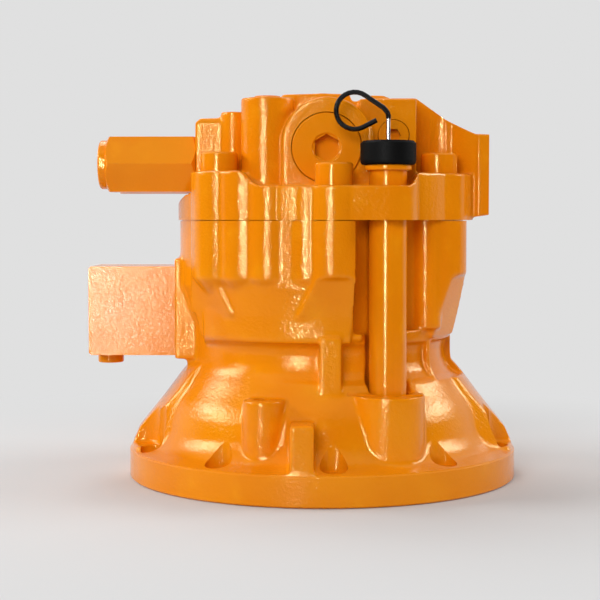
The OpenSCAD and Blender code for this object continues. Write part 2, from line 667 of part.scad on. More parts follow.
module pistons() {
  color("#c8ccd0") for (i = [0:piston_count - 1]) let(a = 20 + i * 360 / piston_count)
    translate([circle_r * cos(a), circle_r * sin(a), pivot_z + tan(swash_angle) * circle_r * cos(a)]) difference() {
      union() {
        sphere(d = ball_d, $fn = 48);
        bar(ball_d / 2 - 2.6, 0, 14);
        translate([0, 0, 12]) cylinder(r1 = piston_d / 2 - 3, r2 = piston_d / 2 - fit, h = 3);
        bar(piston_d / 2 - fit, 15, piston_len);
      }
      bar(7, 26, piston_len + 1);
      bar(1.5, -20, 27);
    }
}

module cylinder_block() {
  color("#8a9298") difference() {
    union() {
      bar(cylinder_block_d / 2, block_bottom, stack_z + 24);
      bar(cylinder_block_d / 2 - 2, stack_z + 23, block_top - seat);
      translate([0, 0, block_bottom + 4]) linear_extrude(stack_z + 24 - block_bottom - 4) teeth(tooth_count, tooth_root - 0.9, tooth_tip);
    }
    at_pistons() {
      bar(piston_d / 2, block_bottom - 1, piston_bore_top);
      bar(kidney_w / 2, piston_bore_top - 1, block_top + 1);
    }
    bar(retainer_r + 3, block_bottom - 1, spring_floor);
    translate([0, 0, spring_floor - 1]) linear_extrude(block_top - spring_floor + 2) teeth(18, core_d / 2 - 0.4, core_d / 2 + 1.5, 0.06);
    bar(core_d / 2 + 3, block_top - 3, block_top + 1);
  }
}

module block_spring() { color("#60686e") coil(core_d / 2 + 5, 2.4, pivot_z + 8 + seat, spring_floor - seat, 5.5, 16, 6); }

module valve_plate() {
  color("#b89a58") difference() {
    ring(58, 30, block_top + seat, casing_h - seat);
    for (a = [-90, 90]) translate([0, 0, block_top - 5]) kidney(circle_r, kidney_w, a, 118);
    translate([circle_r + 10, 0, 0]) bar(2.5 + seat, block_top + 2, casing_h + 1);
  }
}
module valve_plate_pin() { color("#b8bcc0") translate([circle_r + 10, 0, 0]) bar(2.5, block_top + 2.5, casing_h + 6); }

// Brake
module friction_discs() {
  color("#6b5a44") for (i = [0:friction_count - 1]) translate([0, 0, stack_z + separator_t + 2 * seat + i * (separator_t + friction_t + 2 * seat)]) linear_extrude(friction_t)
    difference() { circle(r = disc_bore_d / 2 - 1.5); teeth(tooth_count, tooth_root - 0.3, tooth_tip, 0.3); }
}

module separator_plates() {
  color("#9aa0a4") for (i = [0:friction_count]) translate([0, 0, stack_z + seat + i * (separator_t + friction_t + 2 * seat)]) linear_extrude(separator_t) difference() {
    union() {
      circle(r = disc_bore_d / 2 - 0.2);
      intersection() { for (a = [0, 90]) rotate([0, 0, 45 + a]) square([200, 20], center = true); circle(r = disc_bore_d / 2 + 4); }
    }
    circle(r = tooth_tip + 2);
  }
}

module brake_piston() {
  color("#a4aaae") difference() {
    union() {
      bar(disc_bore_d / 2 - 0.05, stack_top + seat, piston_step + 1);
      bar(brake_bore_d / 2 - 0.05, piston_step, piston_top);
    }
    bar(brake_inner_r, 0, 300);
    for (i = [0:brake_spring_count - 1]) rotate([0, 0, i * 360 / brake_spring_count]) translate([spring_circle_r, 0, 0]) bar(spring_pocket_r, spring_pocket_z, piston_top + 1);
    ring(200, disc_bore_d / 2 - 3, stack_top + 3, stack_top + 6);
    ring(200, brake_bore_d / 2 - 3, piston_top - 12, piston_top - 8);
  }
}

module brake_piston_seals() {
  color("#202020") {
    ring(disc_bore_d / 2 - fit, disc_bore_d / 2 - 2.95, stack_top + 3.1, stack_top + 5.9);
    ring(brake_bore_d / 2 - fit, brake_bore_d / 2 - 2.95, piston_top - 11.9, piston_top - 8.1);
  }
}

module brake_springs() {
  color("#60686e") for (i = [0:brake_spring_count - 1]) rotate([0, 0, i * 360 / brake_spring_count]) translate([spring_circle_r, 0, 0])
    coil(3.6, 0.9, spring_pocket_z + seat, casing_h - seat, 5, 8, 4);
}

// Make-up valves: local Z runs out of the bore from the valve's seat
plug_z = makeup_face - makeup_seat_at - makeup_plug_t;
module front_makeup() { front([makeup_x, mid_y - makeup_seat_at, casing_h + makeup_z]) children(); }
module rear_makeup() { back([makeup_x, mid_y + makeup_seat_at, casing_h + makeup_z]) children(); }

module makeup_plug() {
  difference() {
    union() {
      bar(makeup_plug_d / 2, plug_z + seat, plug_z + makeup_plug_t - 1);
      translate([0, 0, plug_z + makeup_plug_t - 1]) cylinder(r1 = makeup_plug_d / 2, r2 = makeup_plug_d / 2 - 0.8, h = 1);
      bar(makeup_guide_r + 4, makeup_flange_t + makeup_lift + free, plug_z + 1);
    }
    bar(makeup_guide_r, 0, plug_z + 9);
    rotate([0, 0, 30]) hex(makeup_socket, plug_z + makeup_plug_t - 11, plug_z + makeup_plug_t + 1);
    translate([0, 0, plug_z + makeup_plug_t - 1.5]) cylinder(r1 = makeup_socket / sqrt(3) - 0.5, r2 = makeup_socket / sqrt(3) + 2, h = 2.5);
  }
}
module makeup_poppet() {
  difference() {
    union() {
      translate([0, 0, -4]) cylinder(r1 = makeup_seat_d / 2 - 5, r2 = makeup_seat_d / 2 - 0.6, h = 4.1);
      bar(makeup_seat_d / 2 + 4, seat, makeup_flange_t);
      bar(makeup_guide_r - fit, makeup_flange_t - 1, 40);
    }
    bar(8, 10, 41);
  }
}
module makeup_spring() { coil(6.2, 1, 10 + seat, plug_z + 9 - seat, 6, 12, 6); }

module front_makeup_plug() { color("#ee9a12") front_makeup() makeup_plug(); }
module rear_makeup_plug() { color("#ee9a12") rear_makeup() makeup_plug(); }
module front_makeup_poppet() { color("#c0c4c8") front_makeup() makeup_poppet(); }
module rear_makeup_poppet() { color("#c0c4c8") rear_makeup() makeup_poppet(); }
module front_makeup_spring() { color("#60686e") front_makeup() makeup_spring(); }
module rear_makeup_spring() { color("#60686e") rear_makeup() makeup_spring(); }

module gauge_plug() {
  difference() {
    union() { bar(gauge_r, -13.5, -0.6); translate([0, 0, -0.6]) cylinder(r1 = gauge_r, r2 = gauge_r - 0.6, h = 0.6); }
    hex(10, -7, 1);
  }
}
module gauge_plugs() {
  color("#ee9a12") {
    front([gauge_x, mid_y - gauge_face, casing_h + gauge_z]) gauge_plug();
    translate([gauge_x, mid_y + port_spacing / 2, casing_h + gauge_top]) gauge_plug();
  }
}
module column_plug() {
  color("#ee9a12") translate([column_at[0], column_at[1], casing_h]) difference() {
    union() { bar(8, column_top - 19, column_top + 1); bar(10.5, column_top + seat, column_top + 1.8); }
    hex(8, column_top - 5, column_top + 5);
  }
}

// Relief valves: local Z points away from the cover, from the wall that they seat on
module front_relief() { left([relief_x, mid_y - relief_spacing / 2, casing_h + relief_z]) children(); }
module rear_relief() { left([relief_x, mid_y + relief_spacing / 2, casing_h + relief_z]) children(); }
shoulder_z = -26;
poppet_end = -8;

module relief_body() {
  difference() {
    union() {
      intersection() {
        rotate([0, 0, 30]) hex(relief_hex, seat, relief_len);
        union() {
          translate([0, 0, -1]) cylinder(r1 = relief_hex / 2 - 1.4, r2 = relief_hex / sqrt(3), h = 4);
          bar(relief_hex / sqrt(3), 2.9, relief_len - 3);
          translate([0, 0, relief_len - 3.1]) cylinder(r1 = relief_hex / sqrt(3), r2 = relief_hex / 2 - 1, h = 3.1);
        }
      }
      bar(relief_shank_d / 2, shoulder_z - 3, 1);
      bar(13, -44, shoulder_z);
    }
    bar(relief_bore_d / 2, -45, relief_len + 1);
    rotate([0, 90, 0]) translate([29, 0, -20]) cylinder(r = 2.5, h = 40);
  }
}
module relief_adjuster() {
  difference() {
    union() {
      bar(relief_bore_d / 2 - seat, relief_len - 25, relief_len + 1);
      bar(4.4, poppet_end + relief_lift + free, relief_len - 24);
      bar(20.5, relief_len + seat, relief_len + 5.5);
      translate([0, 0, relief_len + 5.5]) cylinder(r1 = 20.5, r2 = 19.3, h = 1.2);
    }
    hex(8, relief_len, relief_len + 8);
  }
}
module relief_seat() { ring(relief_bore_d / 2 - seat, relief_seat_d / 2, -44, -34); }
module relief_poppet() {
  translate([0, 0, -37]) cylinder(r1 = relief_seat_d / 2 - 2.15, r2 = relief_seat_d / 2 + 1.35, h = 5);
  bar(relief_bore_d / 2 - 0.08, -32.2, -26);
  bar(4.4, -27, poppet_end);
}
module relief_spring() { coil(6.7, 1.3, -26 + seat, relief_len - 25 - seat, 9, 12, 6); }

module front_relief_body() { color("#ee9a12") front_relief() relief_body(); }
module rear_relief_body() { color("#ee9a12") rear_relief() relief_body(); }
module front_relief_adjuster() { color("#e89010") front_relief() relief_adjuster(); }
module rear_relief_adjuster() { color("#e89010") rear_relief() relief_adjuster(); }
module front_relief_poppet() { color("#c0c4c8") front_relief() relief_poppet(); }
module rear_relief_poppet() { color("#c0c4c8") rear_relief() relief_poppet(); }
module front_relief_spring() { color("#60686e") front_relief() relief_spring(); }
module rear_relief_spring() { color("#60686e") rear_relief() relief_spring(); }
module relief_seats() { color("#a0a4a8") { front_relief() relief_seat(); rear_relief() relief_seat(); } }
module relief_seals() { color("#202020") for (i = [0, 1]) left([relief_x, mid_y + (i - 0.5) * relief_spacing, casing_h + relief_z]) ring(relief_shank_d / 2 + 2.9, relief_shank_d / 2 + 0.1, -2.4, -0.1); }

// Brake valve block
end_x = block_x - block_len;
spool_start = 30;
plug_in = 14.5;
module brake_valve_block() {
  color("#ea940e") difference() {
    intersection() {
      translate([end_x, -block_depth / 2, block_z]) cube([block_len - seat, block_depth, block_tall]);
      along_y(-50, 50) polygon([[end_x, block_z + 2], [end_x + 2, block_z], [block_x, block_z], [block_x, block_z + block_tall],
        [end_x + 2, block_z + block_tall], [end_x, block_z + block_tall - 2]]);
    }
    right([end_x, 0, spool_z]) { bar(9.5 + seat, -1, 14); bar(spool_d / 2, 0, 62); }
    right([end_x, 0, lower_z]) { bar(8 + seat, -1, 12); bar(4, 0, 56); }
    for (y = [-1, 1]) for (z = block_bolt_z) right([end_x, y * block_bolt_y, z]) { bar(8.6, -1, 11); bar(5.5, 0, block_len + 1); }
    translate([end_x + plug_in, 0, 0]) { bar(7 + seat, block_z - 1, block_z + 14); bar(3, block_z, lower_z); }
    translate([end_x + 52, 0, 0]) bar(3, lower_z, spool_z);
    translate([end_x + 60, 0, 0]) bar(1.5, spool_z, step_z + 1.5);
    right([end_x + 60, 0, step_z + 1.5]) bar(1.5, -1, 30);
  }
}
module brake_valve_bolts() {
  color("#3a3d40") for (y = [-1, 1]) for (z = block_bolt_z) right([end_x, y * block_bolt_y, z]) difference() {
    union() { bar(8, 1, 11 - seat); bar(5, 10, block_len + 16); }
    hex(8, 0, 6);
  }
}
module brake_valve_plugs() {
  color("#e89010") {
    right([end_x, 0, spool_z]) difference() {
      union() { bar(9.5, -2.5, 14 - seat); bar(3, 13, spool_start - spool_travel - free); }
      hex(8, -3, 3);
    }
    right([end_x, 0, lower_z]) difference() { bar(8, -2.5, 12 - seat); hex(7, -3, 3); }
    translate([end_x + plug_in, 0, 0]) { bar(7, block_z - 1, block_z + 13.9); translate([0, 0, block_z - 8.5]) cylinder(r1 = 10.4, r2 = 11, h = 1); bar(11, block_z - 7.5, block_z - seat); }
  }
}
module brake_valve_spool() {
  color("#c0c4c8") right([end_x, 0, spool_z]) difference() {
    bar(spool_d / 2 - fit, spool_start, 61);
    for (z = [38, 49]) ring(20, spool_d / 2 - 2, z, z + 5);
  }
}
module brake_valve_spring() { color("#60686e") right([end_x, 0, spool_z]) coil(4.6, 0.9, 14, spool_start - seat, 5, 10, 5); }

// Dipstick
module dipstick_tube() {
  color("#ee9a12") translate(tube_at) difference() {
    union() {
      bar(tube_d / 2, tube_seat_z + seat, tube_top);
      rotate_extrude() polygon([[tube_d / 2 - 1, tube_top - collar_t], [tube_d / 2 + 2.7, tube_top - collar_t], [tube_d / 2 + 3.5, tube_top - collar_t + 0.8],
        [tube_d / 2 + 3.5, tube_top - 0.8], [tube_d / 2 + 2.7, tube_top], [tube_d / 2 - 1, tube_top]]);
    }
    bar(tube_bore / 2, 0, tube_top + 1);
  }
}
module dipstick_cap() {
  color("#1c1c1e") translate([tube_at[0], tube_at[1], tube_top]) difference() {
    rotate_extrude() polygon([[0, -14], [tube_bore / 2 - 1, -14], [tube_bore / 2 - free, -12], [tube_bore / 2 - free, seat], [cap_d / 2 - 1.5, seat], [cap_d / 2 - 0.4, 1.2],
      [cap_d / 2, 3], [cap_d / 2, cap_h - 2], [cap_d / 2 - 2, cap_h], [0, cap_h]]);
    bar(rod_d / 2 + seat, -15, cap_h + 1);
  }
}

// The coated wire rises from the rod, leans over, makes most of a round loop and ends in a short tail
wire_foot = tube_top + 36;
wire_bend = tube_top + 42.6;
loop_start = 54;
loop_end = 297;
function loop_at(a) = [loop_x + loop_d / 2 * cos(a), loop_z + loop_d / 2 * sin(a)];
wire_route = concat([[tube_at[0], wire_foot], [tube_at[0], wire_foot + 2.4], [tube_at[0] - 0.6, wire_foot + 4.6], [tube_at[0] - 2.2, wire_bend],
  [tube_at[0] - 4, wire_bend + 2]], [for (a = [loop_start:13.5:loop_end]) loop_at(a)], [loop_at(loop_end) + 12 * [cos(loop_end + 90), sin(loop_end + 90)]]);
module dipstick_rod() {
  color("#c4c8cc") translate(tube_at) bar(rod_d / 2, rod_end, wire_foot - seat);
}
module dipstick_handle() {
  n = len(wire_route);
  m = 10;
  pts = [for (i = [0:n - 1]) let(p = wire_route[i], d = wire_route[min(i + 1, n - 1)] - wire_route[max(i - 1, 0)], u = d / norm(d))
    for (k = [0:m - 1]) let(b = k * 360 / m, x = wire_d / 2 * cos(b)) [p[0] + u[1] * x, wire_d / 2 * sin(b), p[1] - u[0] * x]];
  faces = concat([for (k = [1:m - 2]) [0, k, k + 1]],
    [for (i = [0:n - 2]) for (k = [0:m - 1]) let(a = i * m + k, b = i * m + (k + 1) % m) each [[a, a + m, b + m], [a, b + m, b]]],
    [for (k = [1:m - 2]) [(n - 1) * m, (n - 1) * m + k + 1, (n - 1) * m + k]]);
  color("#141414") translate([0, tube_at[1], 0]) polyhedron(points = pts, faces = faces);
}

casing();
valve_cover();
cover_bolts();
cover_dowels();
joint_seal();
drive_shaft();
lower_bearing_outer();
lower_bearing_inner();
lower_bearing_rollers();
lower_bearing_cage();
upper_bearing_outer();
upper_bearing_inner();
upper_bearing_rollers();
upper_bearing_cage();
shaft_seal();
seal_retaining_ring();
swash_plate();
swash_pin();
piston_shoes();
shoe_retainer();
retainer_ball();
pistons();
cylinder_block();
block_spring();
valve_plate();
valve_plate_pin();
friction_discs();
separator_plates();
brake_piston();
brake_piston_seals();
brake_springs();
front_makeup_plug();
rear_makeup_plug();
front_makeup_poppet();
rear_makeup_poppet();
front_makeup_spring();
rear_makeup_spring();
gauge_plugs();
column_plug();
front_relief_body();
rear_relief_body();
front_relief_adjuster();
rear_relief_adjuster();
front_relief_poppet();
rear_relief_poppet();
front_relief_spring();
rear_relief_spring();
relief_seats();
relief_seals();
brake_valve_block();
brake_valve_bolts();
brake_valve_plugs();
brake_valve_spool();
brake_valve_spring();
dipstick_tube();
dipstick_cap();
dipstick_rod();
dipstick_handle();
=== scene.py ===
"""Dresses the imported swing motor: castings in orange paint, rubber cap, wire handle and a pale studio."""

import json
import math

import bpy
from mathutils import Matrix, Vector


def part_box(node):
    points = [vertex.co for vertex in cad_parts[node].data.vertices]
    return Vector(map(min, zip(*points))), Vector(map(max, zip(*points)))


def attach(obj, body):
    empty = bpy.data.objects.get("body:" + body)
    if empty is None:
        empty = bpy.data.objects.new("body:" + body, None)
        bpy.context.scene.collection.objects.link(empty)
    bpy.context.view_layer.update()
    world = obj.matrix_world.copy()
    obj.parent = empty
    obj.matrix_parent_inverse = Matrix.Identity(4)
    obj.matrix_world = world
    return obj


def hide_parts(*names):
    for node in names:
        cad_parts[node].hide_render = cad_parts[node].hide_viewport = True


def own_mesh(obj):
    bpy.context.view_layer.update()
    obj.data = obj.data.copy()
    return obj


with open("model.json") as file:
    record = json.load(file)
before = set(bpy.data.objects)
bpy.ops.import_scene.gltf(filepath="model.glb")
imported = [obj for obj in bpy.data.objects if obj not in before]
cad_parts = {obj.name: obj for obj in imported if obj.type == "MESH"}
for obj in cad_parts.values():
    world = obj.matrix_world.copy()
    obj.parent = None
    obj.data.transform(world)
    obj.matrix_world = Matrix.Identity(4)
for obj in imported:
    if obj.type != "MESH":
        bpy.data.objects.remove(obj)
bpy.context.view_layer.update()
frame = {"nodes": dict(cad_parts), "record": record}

MM = 0.001

# Main sizes in millimetres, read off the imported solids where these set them
CASING_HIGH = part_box("casing")[1] / MM
FLANGE_R = CASING_HIGH.x
JOINT_Z = CASING_HIGH.z
COVER_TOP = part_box("valve_cover")[1].z / MM
PORT_FACE_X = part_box("valve_cover")[1].x / MM
TUBE_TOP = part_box("dipstick_tube")[1].z / MM
RIM_H = 24.3
BELL_R = FLANGE_R - 32
FLARE_R = 118
WAIST_R = 110
UPPER_R = 121.5
NECK_Z = JOINT_Z - 55
WAIST_Z = JOINT_Z - 87

# Cover bolts: angles about the shaft, lobes round them and the heights of their seats over the joint
BOLT_CIRCLE_R = 108
BOLT_ANGLES = (-50.6, 5, 63, 142.7, 217.3)
BOLT_HOLE_R = 10.5
LOBE_R = 23
HEAD_R = 15
SEAT_UP = (34.7, 24.9, 34.5, 24.9, 24.9)

# Upright flutes on the wall: angle, distance from the shaft and radius
FLUTES = ((-47.7, 110, 23), (-35.1, 105, 23), (-22.5, 105, 21), (-5.5, 102, 22))

# Flange bolts
FLANGE_BOLTS = 10
FLANGE_TURN = 3.5
FLANGE_BOLT_R = 150
FLANGE_HOLE_R = 9
FLANGE_SEAT_R = 10.8

# Brake valve block, dipstick tube with its cap, small boss on the bell, and the drain at the back
BLOCK_Z = 103.5
TUBE_AT = (52, -103)
TUBE_R = 15
TUBE_BORE_R = 11
TUBE_BOSS_H = 80
CAP_R = 22
CAP_SEAT = TUBE_TOP - 5.7
SMALL_BOSS_AT = (-45.5, -122)
SMALL_HOLE_AT = (-47, -122)
DRAIN_Z = 108

# Valve cover: plate heights over the joint, then plugs, relief valves and ports
MID_Y = 10
PLATE_T = 27
PLATE_R = 123
TUBE_LOBE_R = 24
RIGHT_LOBE_R = 25
RIGHT_LOBE_AT = (100, -38)
LOBE_TOP = 39
RIGHT_TOP = 37.8
MAKEUP_AT = (3.6, JOINT_Z + 57.8)
MAKEUP_FACE = 96
MAKEUP_HOLE_R = 28.5
MAKEUP_PORT_R = 15
BOSS_X = 4.4
BOSS_R = 36.5
GAUGE_X = 57.7
GAUGE_Z = JOINT_Z + 68.2
GAUGE_FACE = 82
GAUGE_TOP = COVER_TOP - 8
FRONT_GAUGE_R = 12.9
TOP_GAUGE_R = 12.8
GAUGE_SEAT_R = 15.5
GAUGE_DEPTH = 14
COLUMN_AT = (-44.5, -62)
COLUMN_R = 21.5
COLUMN_TOP = JOINT_Z + 98.6
COLUMN_HOLE_R = 8.2
RELIEF_X = -105
RELIEF_LOW = JOINT_Z + 21
RELIEF_HIGH = JOINT_Z + 81
PORT_Z = JOINT_Z + 37.5
PORT_Y = (MID_Y - 28, MID_Y + 28)
PORT_R = 12.5
PORT_DEPTH = 90
PORT_BOLT_R = 5.25
PORT_BOLT_DEPTH = 22
PORT_BOLT_Y = 13.1
PORT_BOLT_Z = 26.2

# How far lumps and tools reach past a face that is cut later, and the most triangles of a casting
OVER = 5
MOST_TRIANGLES = 190000

# Camera at eye level with the joint: lengths in metres, sensor in millimetres, picture in pixels
IMAGE_W = 600
SENSOR_W = 36
FOCAL_PX = 1440
EYE_DISTANCE = 1.24
EYE_HEIGHT = JOINT_Z * MM
HORIZON_PX = 220
SHAFT_PX = 322


def studio_camera():
    camera = bpy.data.cameras.new("studio_camera")
    camera.sensor_width = SENSOR_W
    camera.lens = camera.sensor_width * FOCAL_PX / IMAGE_W
    eye = bpy.data.objects.new("studio_camera", camera)
    eye.location = (0, -EYE_DISTANCE, EYE_HEIGHT)
    pitch = math.atan((IMAGE_W / 2 - HORIZON_PX) / FOCAL_PX)
    yaw = math.atan((SHAFT_PX - IMAGE_W / 2) / FOCAL_PX)
    eye.rotation_euler = (math.pi / 2 - pitch, 0, yaw)
    bpy.context.scene.collection.objects.link(eye)
    bpy.context.scene.camera = eye


# Shader graphs: arithmetic on sockets, and one call for every other node
class Signal:
    """A value in a finish's graph, on which arithmetic adds Math nodes."""

    def __init__(self, finish, socket):
        self.finish = finish
        self.socket = socket

    def _math(self, operation, other):
        return self.finish.node("Math", {"operation": operation}, {0: self, 1: other})

    def __add__(self, other):
        return self._math("ADD", other)

    def __mul__(self, other):
        return self._math("MULTIPLY", other)


class Finish:
    """A material whose nodes are added one call at a time."""

    def __init__(self, name, colour, roughness, metallic=0.0):
        self.material = bpy.data.materials.new(name)
        self.material.use_nodes = True
        self.tree = self.material.node_tree
        self.shader = self.tree.nodes["Principled BSDF"]
        self.set("Base Color", (*colour, 1))
        self.set("Roughness", roughness)
        self.set("Metallic", metallic)
        self.place = self.node("TexCoord", {}, {}, "Object")

    def set(self, name, value):
        if isinstance(value, Signal):
            self.tree.links.new(value.socket, self.shader.inputs[name])
        else:
            self.shader.inputs[name].default_value = value

    def node(self, kind, settings, inputs, output=0):
        made = self.tree.nodes.new("ShaderNode" + kind)
        for key, value in settings.items():
            setattr(made, key, value)
        for key, value in inputs.items():
            if isinstance(value, Signal):
                self.tree.links.new(value.socket, made.inputs[key])
            elif value is not None:
                made.inputs[key].default_value = value
        return Signal(self, made.outputs[output])

    def noise(self, scale, detail, roughness=0.5):
        values = {"Vector": self.place, "Scale": scale, "Detail": detail, "Roughness": roughness}
        return self.node("TexNoise", {}, values, "Fac")

    def between(self, signal, low, high, to_low=0.0, to_high=1.0):
        values = {"Value": signal, 1: low, 2: high, 3: to_low, 4: to_high}
        return self.node("MapRange", {"interpolation_type": "SMOOTHSTEP"}, values)

    def mix(self, factor, first, second):
        values = {0: factor, 6: first, 7: second}
        return self.node("Mix", {"data_type": "RGBA"}, values, 2)

    def bump(self, height, strength, distance, under=None):
        values = {"Height": height, "Strength": strength, "Distance": distance, "Normal": under}
        return self.node("Bump", {}, values, "Normal")


# Finishes
ORANGE = (0.82, 0.255, 0.003)
ORANGE_DEEP = (0.78, 0.22, 0.002)
ORANGE_WARM = (0.85, 0.295, 0.005)
PAINT_SHEEN = (1, 0.94, 0.42, 1)
BLOCK_SHEEN = (1, 0.84, 0.66, 1)


def orange_paint(name, grain, peel, roughness, shine=0.4, sheen=PAINT_SHEEN):
    """Gloss orange paint: grain is the casting's own roughness under it, peel the paint's ripple."""
    paint = Finish(name, ORANGE, roughness)
    cloud = paint.noise(scale=14, detail=2)
    deep = paint.mix(paint.between(cloud, 0.35, 0.65), (*ORANGE_DEEP, 1), (*ORANGE, 1))
    patch = paint.noise(scale=55, detail=3)
    paint.set("Base Color", paint.mix(paint.between(patch, 0.55, 0.8) * 0.5, deep, (*ORANGE_WARM, 1)))
    rub = paint.noise(scale=90, detail=2)
    paint.set("Roughness", paint.between(rub, 0.3, 0.7, roughness * 0.85, roughness * 1.25))
    coarse = paint.noise(scale=420, detail=3, roughness=0.55)
    fine = paint.noise(scale=1100, detail=2)
    under = paint.bump(coarse, grain, distance=0.001)
    paint.set("Normal", paint.bump(fine, peel, distance=0.00022, under=under))
    paint.set("Specular IOR Level", shine)
    paint.set("Specular Tint", sheen)
    return paint.material


def plain_metal(name, colour, roughness):
    metal = Finish(name, colour, roughness, metallic=1.0)
    rub = metal.noise(scale=700, detail=3)
    metal.set("Roughness", metal.between(rub, 0.3, 0.7, roughness * 0.8, roughness * 1.3))
    metal.set("Normal", metal.bump(rub, strength=0.15, distance=0.0001))
    return metal.material


def dull_surface(name, colour, roughness, grain, shine=0.5):
    """Rubber, plastic coating or friction lining."""
    surface = Finish(name, colour, roughness)
    speck = surface.noise(scale=1500, detail=3)
    surface.set("Roughness", surface.between(speck, 0.3, 0.7, roughness * 0.85, roughness * 1.15))
    surface.set("Normal", surface.bump(speck, grain, distance=0.00015))
    surface.set("Specular IOR Level", shine)
    return surface.material


CAST_PAINT = orange_paint("cast_orange_paint", grain=0.36, peel=0.2, roughness=0.1)
SMOOTH_PAINT = orange_paint("smooth_orange_paint", grain=0.14, peel=0.2, roughness=0.11)
BLOCK_PAINT = orange_paint("milled_block_paint", 0.18, 0.3, 0.14, shine=0.36, sheen=BLOCK_SHEEN)
DARK_STEEL = plain_metal("blackened_steel", (0.12, 0.12, 0.13), 0.4)
SPRING_STEEL = plain_metal("spring_steel", (0.34, 0.35, 0.37), 0.35)

# The finish of each material slot in the record
FINISHES = {
    "orange_paint": SMOOTH_PAINT,
    "steel": plain_metal("ground_steel", (0.62, 0.63, 0.64), 0.28),
    "dark_steel": DARK_STEEL,
    "spring_steel": SPRING_STEEL,
    "bronze": plain_metal("bronze", (0.66, 0.45, 0.2), 0.35),
    "friction_lining": dull_surface("friction_lining", (0.2, 0.14, 0.09), 0.8, grain=0.6),
    "cap_rubber": dull_surface("cap_rubber", (0.004, 0.004, 0.004), 0.55, grain=0.35, shine=0.05),
    "seal_rubber": dull_surface("seal_rubber", (0.02, 0.02, 0.02), 0.55, grain=0.2),
    "handle_coating": dull_surface("handle_coating", (0.003, 0.003, 0.003), 0.22, grain=0.1, shine=0.3),
}


# Modelling: primitives added at their size and place, in millimetres
def deselect():
    bpy.ops.object.select_all(action="DESELECT")


def pick(piece):
    deselect()
    piece.select_set(True)
    bpy.context.view_layer.objects.active = piece


def fresh(name):
    made = bpy.context.active_object
    made.name = made.data.name = name
    bpy.ops.object.transform_apply(location=True, rotation=True, scale=True)
    return made


def bar(radius, z0, z1, at=(0, 0), sides=96):
    deselect()
    place = (at[0] * MM, at[1] * MM, (z0 + z1) / 2 * MM)
    bpy.ops.mesh.primitive_cylinder_add(
        vertices=sides, radius=radius * MM, depth=(z1 - z0) * MM, location=place)
    return fresh("bar")


def cone(r0, r1, z0, z1, at):
    deselect()
    place = (at[0] * MM, at[1] * MM, (z0 + z1) / 2 * MM)
    bpy.ops.mesh.primitive_cone_add(
        vertices=96, radius1=r0 * MM, radius2=r1 * MM, depth=(z1 - z0) * MM, location=place)
    return fresh("cone")


def block(low, high):
    deselect()
    place = [(a + b) / 2 * MM for a, b in zip(low, high)]
    size = [(b - a) * MM for a, b in zip(low, high)]
    bpy.ops.mesh.primitive_cube_add(size=1, location=place, scale=size)
    return fresh("block")


def outline(points):
    """A flat loop of edges through points (x, y, z), started as a circle primitive."""
    deselect()
    bpy.ops.mesh.primitive_circle_add(vertices=len(points), radius=MM)
    loop = fresh("outline")
    for vertex, point in zip(loop.data.vertices, points):
        vertex.co = Vector(point) * MM
    return loop


SAME_POINT = 0.00001
SAME_PACKED_POINT = 0.000002
FLAT_ANGLE = math.radians(0.4)
SHARP_ANGLE = math.radians(30)


def edit(piece):
    pick(piece)
    bpy.ops.object.mode_set(mode="EDIT")
    bpy.ops.mesh.select_all(action="SELECT")


def leave(clean=True):
    if clean:
        bpy.ops.mesh.select_all(action="SELECT")
        bpy.ops.mesh.remove_doubles(threshold=SAME_POINT)
        bpy.ops.mesh.normals_make_consistent(inside=False)
    bpy.ops.object.mode_set(mode="OBJECT")


def revolve(profile, steps=144):
    """A closed profile of (radius, height) turned about Z."""
    turned = outline([(r, 0, z) for r, z in profile])
    edit(turned)
    bpy.ops.mesh.spin(
        steps=steps, angle=2 * math.pi, center=(0, 0, 0), axis=(0, 0, 1), use_auto_merge=True)
    leave()
    return turned


def drawn(points, along):
    """A closed outline of (x, y, z) points filled and drawn out along a vector."""
    made = outline(points)
    edit(made)
    bpy.ops.mesh.edge_face_add()
    bpy.ops.mesh.extrude_region_move(TRANSFORM_OT_translate={"value": Vector(along) * MM})
    leave()
    return made


def slab(plan, z0, z1):
    """A plan of (x, y) points drawn up from one height to another."""
    return drawn([(x, y, z0) for x, y in plan], (0, 0, z1 - z0))


def front_shape(points, y0, y1):
    """An outline of (x, z) points, as seen from the front, drawn from one depth to another."""
    return drawn([(x, y0, z) for x, z in points], (0, y1 - y0, 0))


def side_shape(points, x0, x1):
    """An outline of (y, z) points, as seen from the side, drawn across."""
    return drawn([(x0, y, z) for y, z in points], (x1 - x0, 0, 0))


def turn(piece, matrix, at=(0, 0, 0)):
    """Turns a finished mesh and sets it down at a point."""
    piece.data.transform(Matrix.Translation(Vector(at) * MM) @ matrix.to_4x4())
    return piece


# Turns that point an upright bar's upper end outwards
FRONT = Matrix.Rotation(math.pi / 2, 3, "X")
BACK = Matrix.Rotation(-math.pi / 2, 3, "X")
RIGHT = Matrix.Rotation(math.pi / 2, 3, "Y")


def polar(radius, degrees):
    """A point about the shaft, its angle counted from the front towards +X."""
    angle = math.radians(degrees)
    return (radius * math.sin(angle), -radius * math.cos(angle))


def modifier(piece, kind, **settings):
    pick(piece)
    made = piece.modifiers.new(kind.lower(), kind)
    for key, value in settings.items():
        setattr(made, key, value)
    bpy.ops.object.modifier_apply(modifier=made.name)


def cut(piece, tool, operation="DIFFERENCE"):
    """A boolean with a tool that is used up."""
    modifier(piece, "BOOLEAN", operation=operation, solver="MANIFOLD", object=tool)
    bpy.data.objects.remove(tool)
    return piece


def drill(piece, tools):
    """All tools as one body, then one cut."""
    for tool in tools[1:]:
        cut(tools[0], tool, "UNION")
    cut(piece, tools[0])


